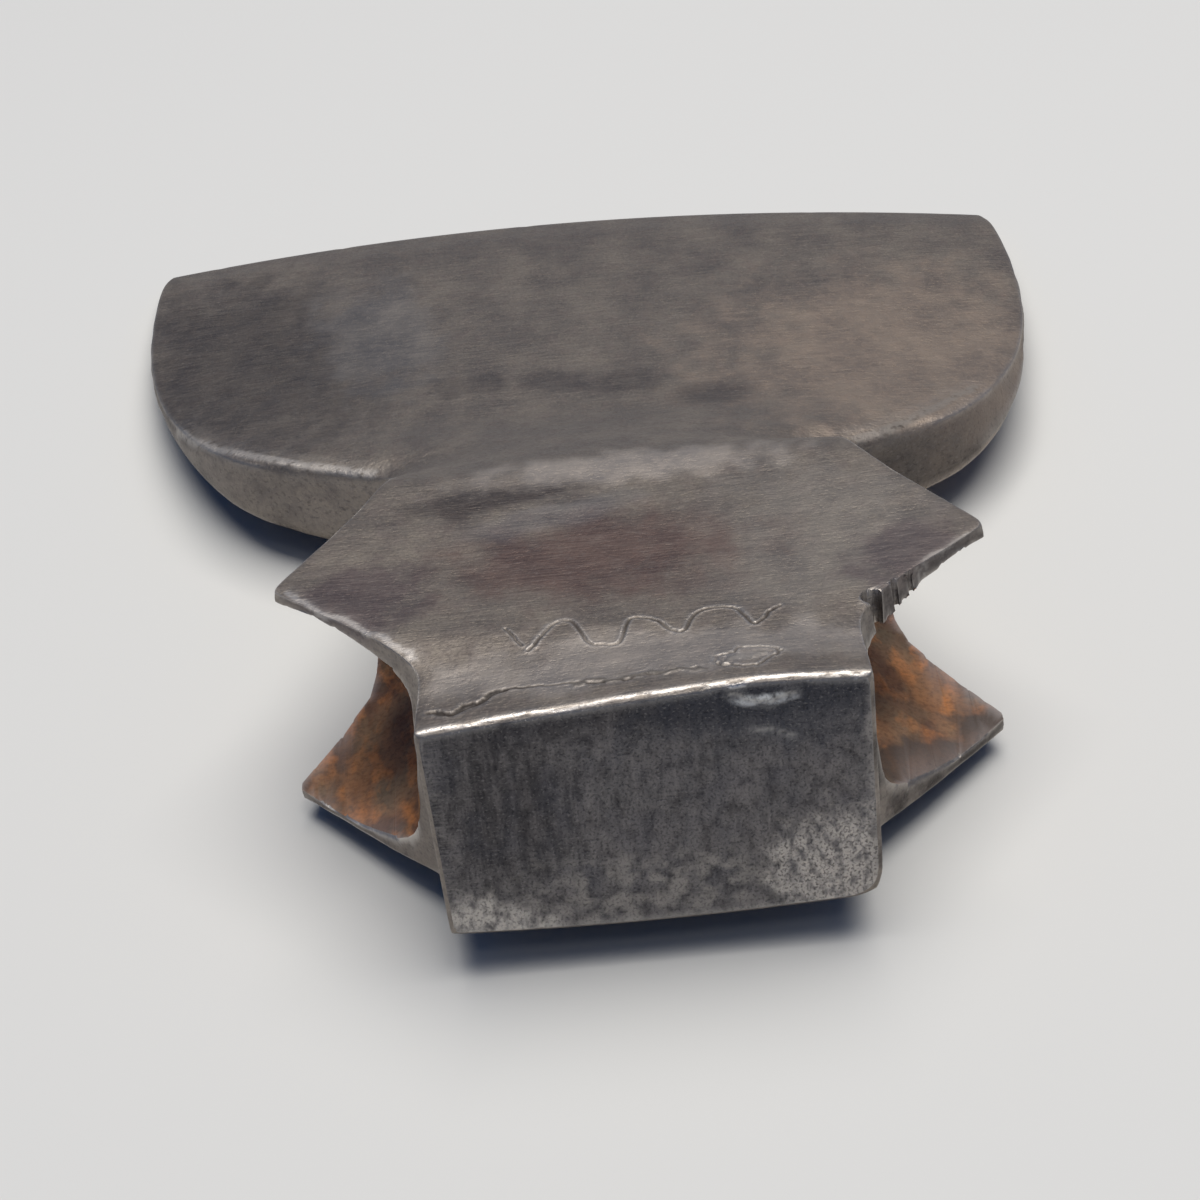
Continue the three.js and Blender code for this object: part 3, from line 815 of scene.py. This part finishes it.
def smooth_through(points):
    """Points close together on a smooth curve through the given ones."""
    points = np.array(points, dtype=float)
    padded = np.vstack([2 * points[0] - points[1], points, 2 * points[-1] - points[-2]])
    along = np.linspace(0, 1, STEPS_BETWEEN, endpoint=False)[:, None]
    runs = []
    for p0, p1, p2, p3 in zip(padded, padded[1:], padded[2:], padded[3:]):
        bend = 2 * p0 - 5 * p1 + 4 * p2 - p3
        twist = 3 * (p1 - p2) + p3 - p0
        runs.append(0.5 * (2 * p1 + (p2 - p0) * along + bend * along**2 + twist * along**3))
    return np.vstack([*runs, points[-1:]])


def line_on_body(name, place, points, unsteady, seed):
    """A chain of edges on the body through these points, unsteady by so many mm."""
    chance = np.random.default_rng(seed)
    curve = smooth_through(points)
    wander = chance.normal(0, unsteady, curve.shape)
    wander = (wander + np.roll(wander, 1, 0) + np.roll(wander, -1, 0)) / 2
    start_at, way = CAST_FROM[place]
    way = (turn @ Vector(way)).normalized()
    hits = [surface.ray_cast(TO_SCENE @ Vector(start_at(a, b)), way)[0] for a, b in curve + wander]
    hits = [h for h in hits if h is not None]
    mesh = bpy.data.meshes.new(name)
    mesh.from_pydata(hits, [(i, i + 1) for i in range(len(hits) - 1)], [])
    chain = bpy.data.objects.new(name, mesh)
    bpy.context.scene.collection.objects.link(chain)
    return chain


# %% [markdown]
# ## Working the surface
# One tree holds all the steps in the order in which they happened to the head: hammered, decorated, then
# worn. Its inputs are named after the step, so each size can be changed in the modifier. It ends by making
# everything real and giving each region its own steel.

# %% One tree for the whole surface
STEPS = [
    # dents have a zone, then their spacing, radius and depth in mm, and a seed
    # lines have a place, points and an unsteadiness in mm, then their half width, depth and lip in mm, and
    # how bare they leave the steel, which on the poll edge and the left rim is how bright a highlight they
    # paint
    ("Hammer", dents, ("hammered", 6.5, 5.5, 0.14, 4)),
    ("Planish", dents, ("hammered", 2.6, 2.4, 0.035, 9)),
    ("Seam", pressed, (("cheek", SEAM, 0.34), 0.36, 0.11, 0.01, 0.0)),
    ("Crack", pressed, (("cheek", CRACK, 0.18), 0.6, 0.16, 0.0, 0.0)),
    ("Fold", pressed, (("cheek", FOLD, 0.4), 0.5, -0.1, -0.06, 0.12)),
    ("Flake", pressed, (("cheek", FLAKE, 0.3), 0.3, 0.14, 0.05, 0.0)),
    ("Scale", pressed, (("cheek", SCALE, 0.3), 0.5, -0.12, -0.1, 0.3)),
    ("Stroke", pressed, (("cheek", STROKE, 0.05), 0.28, 0.13, 0.04, 0.0)),
    ("Wave", pressed, (("cheek", WAVE, 0.09), 0.32, 0.13, 0.06, 0.0)),
    ("Gouge", pressed, (("poll", GOUGE, 0.16), 0.5, 0.06, 0.0, 0.3)),
    ("Scratch", pressed, (("poll", SCRATCH, 0.12), 0.3, 0.03, 0.0, 0.3)),
    ("Nick", dents, ("edge_wear", 3.1, 1.5, 0.14, 12)),
    ("Pit", dents, ("pitted", 0.8, 0.5, 0.09, 7)),
    # a bright line along the poll's top edge, partly rubbed metal and partly a painted highlight
    ("Poll Edge", pressed, (("cheek", POLL_EDGE_WEAR_AND_HIGHLIGHT, 0.16), 0.36, 0.0, 0.0, 1.0)),
    ("Ear Rim", pressed, (("cheek", EAR_RIM, 0.35), 0.9, 0.04, 0.0, 0.75)),
    ("Right Ear Rim", pressed, (("cheek", RIGHT_EAR_RIM, 0.2), 0.5, 0.03, 0.0, 0.5)),
    # a painted highlight along the chamfer of the blade's near left rim
    ("Left Shoulder", pressed, (("cheek", LEFT_RIM_HIGHLIGHT, 0.1), 1.4, 0.0, 0.0, 0.6)),
    ("Right Shoulder", pressed, (("cheek", RIGHT_SHOULDER, 0.1), 1.5, 0.0, 0.0, 0.3)),
]
LENGTHS = ("Spacing", "Radius", "Half Width", "Depth", "Lip")
STEELS = {OUTSIDE: forged, POLL_FACE: dressed, EYE_WALL: rusted}


def own_inputs(kind):
    """The inputs of a tree in order, without its geometry."""
    return [i for i in kind.interface.items_tree if i.in_out == "INPUT" and i.name != "Geometry"]


named_inputs = []
values = {}
lines = []
for step, kind, settings in STEPS:
    for item, value in zip(own_inputs(kind), settings):
        full_name = step + " " + item.name
        named_inputs.append((full_name, item.socket_type.removeprefix("NodeSocket")))
        if item.name == "Line":
            place, points, unsteady = value
            value = line_on_body(step.lower() + "_line", place, points, unsteady, seed=len(lines) + 1)
            lines.append(value)
        values[full_name] = value * MM if item.name in LENGTHS else value

worked, given = new_tree("worked_surface", named_inputs)
shape = given["Geometry"]
for step, kind, _ in STEPS:
    node = worked.nodes.new("GeometryNodeGroup")
    node.node_tree = kind
    worked.links.new(shape, node.inputs["Geometry"])
    for item in own_inputs(kind):
        worked.links.new(given[step + " " + item.name], node.inputs[item.name])
    shape = node.outputs["Geometry"]
shape = add(worked, "GeometryNodeRealizeInstances", {0: shape})
region_here = add(worked, "GeometryNodeInputNamedAttribute", {"Name": "region"}, data_type="INT")
for number, steel in STEELS.items():
    same = {2: region_here, 3: number}
    chosen = add(worked, "FunctionNodeCompare", same, data_type="INT", operation="EQUAL")
    given_steel = {"Geometry": shape, "Selection": chosen, "Material": steel}
    shape = add(worked, "GeometryNodeSetMaterial", given_steel)
add(worked, "NodeGroupOutput", {0: shape}, out=None)

for steel in STEELS.values():
    body.data.materials.append(steel)
modifier = body.modifiers.new("worked surface", "NODES")
modifier.node_group = worked
for item in worked.interface.items_tree:
    if item.in_out == "INPUT" and item.name in values:
        modifier[item.identifier] = values[item.name]
before = mesh_rows(body.data.vertices, "co", 3)
apply_modifiers(body)
for chain in lines:
    bpy.data.objects.remove(chain)
moved = np.linalg.norm(mesh_rows(body.data.vertices, "co", 3) - before, axis=1) / MM
print("the marks move the surface by", round(float(moved.mean()), 3), "mm")
print("and at most by", round(float(moved.max()), 2), "mm")

# %% Smooth shading, split at the sharp edges, and the wear that the materials read
CRISP = math.radians(32)
for polygon in body.data.polygons:
    polygon.use_smooth = True
body.data.set_sharp_from_angle(angle=CRISP)
measure_wear(body.data, passes=2)
for name in ("hammered", "pitted", "region"):
    body.data.attributes.remove(body.data.attributes[name])
print("steels:", [m.name for m in body.data.materials])

# %% Fix the head to its body in the frame
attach(body, "root")
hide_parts("axe_head")

# %% [markdown]
# ## Floor
# The head was photographed on smooth pale card. A plain plane does: all it shows is a soft shadow, which
# is blurred and bluish because only the sky lights it.

# %% Pale card
FLOOR_SIZE = 6
CARD_COLOUR = "#d0cfca"
CARD_ROUGHNESS = 0.75
bpy.ops.mesh.primitive_plane_add(size=FLOOR_SIZE)
floor = bpy.context.object
floor.name = "floor"
card = bpy.data.materials.new("pale_matt_card")
card.use_nodes = True
card_shader = card.node_tree.nodes["Principled BSDF"]
card_shader.inputs["Base Color"].default_value = hex_colour(CARD_COLOUR)
card_shader.inputs["Roughness"].default_value = CARD_ROUGHNESS
floor.data.materials.append(card)

# %% [markdown]
# ## Light
# One big soft lamp hangs over the head, a little behind it, so the poll face is in half shade and its top
# edge catches a bright line from a small weak lamp in front, on top of the highlight painted along it. A
# weak cold sky fills the shadows.

# %% Sky and lamps
SKY_COLOUR = (0.14, 0.38, 1.0, 1)
SKY_STRENGTH = 0.15
world = bpy.data.worlds.new("cold_sky")
bpy.context.scene.world = world
world.use_nodes = True
background = world.node_tree.nodes["Background"]
background.inputs["Color"].default_value = SKY_COLOUR
background.inputs["Strength"].default_value = SKY_STRENGTH


def soft_lamp(name, size, energy, colour, place):
    """A square lamp of this size in metres and energy in watts that faces the origin."""
    lamp = bpy.data.lights.new(name, "AREA")
    lamp.shape = "SQUARE"
    lamp.size = size
    lamp.energy = energy
    lamp.color = colour
    holder = bpy.data.objects.new(name, lamp)
    holder.location = place
    holder.rotation_euler = holder.location.to_track_quat("Z", "Y").to_euler()
    bpy.context.scene.collection.objects.link(holder)


soft_lamp("overhead", 1.4, 31.5, (1.0, 0.97, 0.93), (0.12, 0.14, 1.5))
soft_lamp("edge_light", 0.25, 0.75, (1.0, 0.98, 0.96), (0.1, -0.9, 1.2))

# %% [markdown]
# ## Camera
# The camera looks down on the poll face from about 29 degrees. Its place was fitted to the outline of the
# head as the photograph shows it, in the head's own frame, so it is written down the same way.

# %% Camera
FOCAL_LENGTH = 96
SENSOR_WIDTH = 36
DISTANCE = 414.38
ELEVATION = math.radians(29.0)
ROLL = math.radians(5.34)
YAW = math.radians(0.4)
AIM_RIGHT = 4.64
AIM_UP = -27.45
NEAREST_SEEN = 0.01
right = Vector((1, 0, 0))
up = Vector((0, math.sin(ELEVATION), math.cos(ELEVATION)))
back = Vector((0, -math.cos(ELEVATION), math.sin(ELEVATION)))
place = -AIM_RIGHT * right - AIM_UP * up + DISTANCE * back
rolled_right = math.cos(ROLL) * right - math.sin(ROLL) * up
rolled_up = math.sin(ROLL) * right + math.cos(ROLL) * up
looking = Matrix((rolled_right, rolled_up, back)).transposed().to_4x4()
in_head = Matrix.Rotation(-YAW, 4, "Z") @ Matrix.Translation(place) @ looking
lens = bpy.data.cameras.new("camera")
lens.lens = FOCAL_LENGTH
lens.sensor_width = SENSOR_WIDTH
lens.clip_start = NEAREST_SEEN
camera = bpy.data.objects.new("camera", lens)
bpy.context.scene.collection.objects.link(camera)
camera.matrix_world = (
    Matrix.Translation(poll_mount["pos_m"])
    @ turn.to_4x4()
    @ Matrix.Translation(in_head.translation * MM)
    @ in_head.to_3x3().to_4x4()
)
bpy.context.scene.camera = camera
bpy.context.scene.view_settings.view_transform = "Standard"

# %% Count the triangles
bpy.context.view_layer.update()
body.data.calc_loop_triangles()
print("triangles:", len(body.data.loop_triangles))
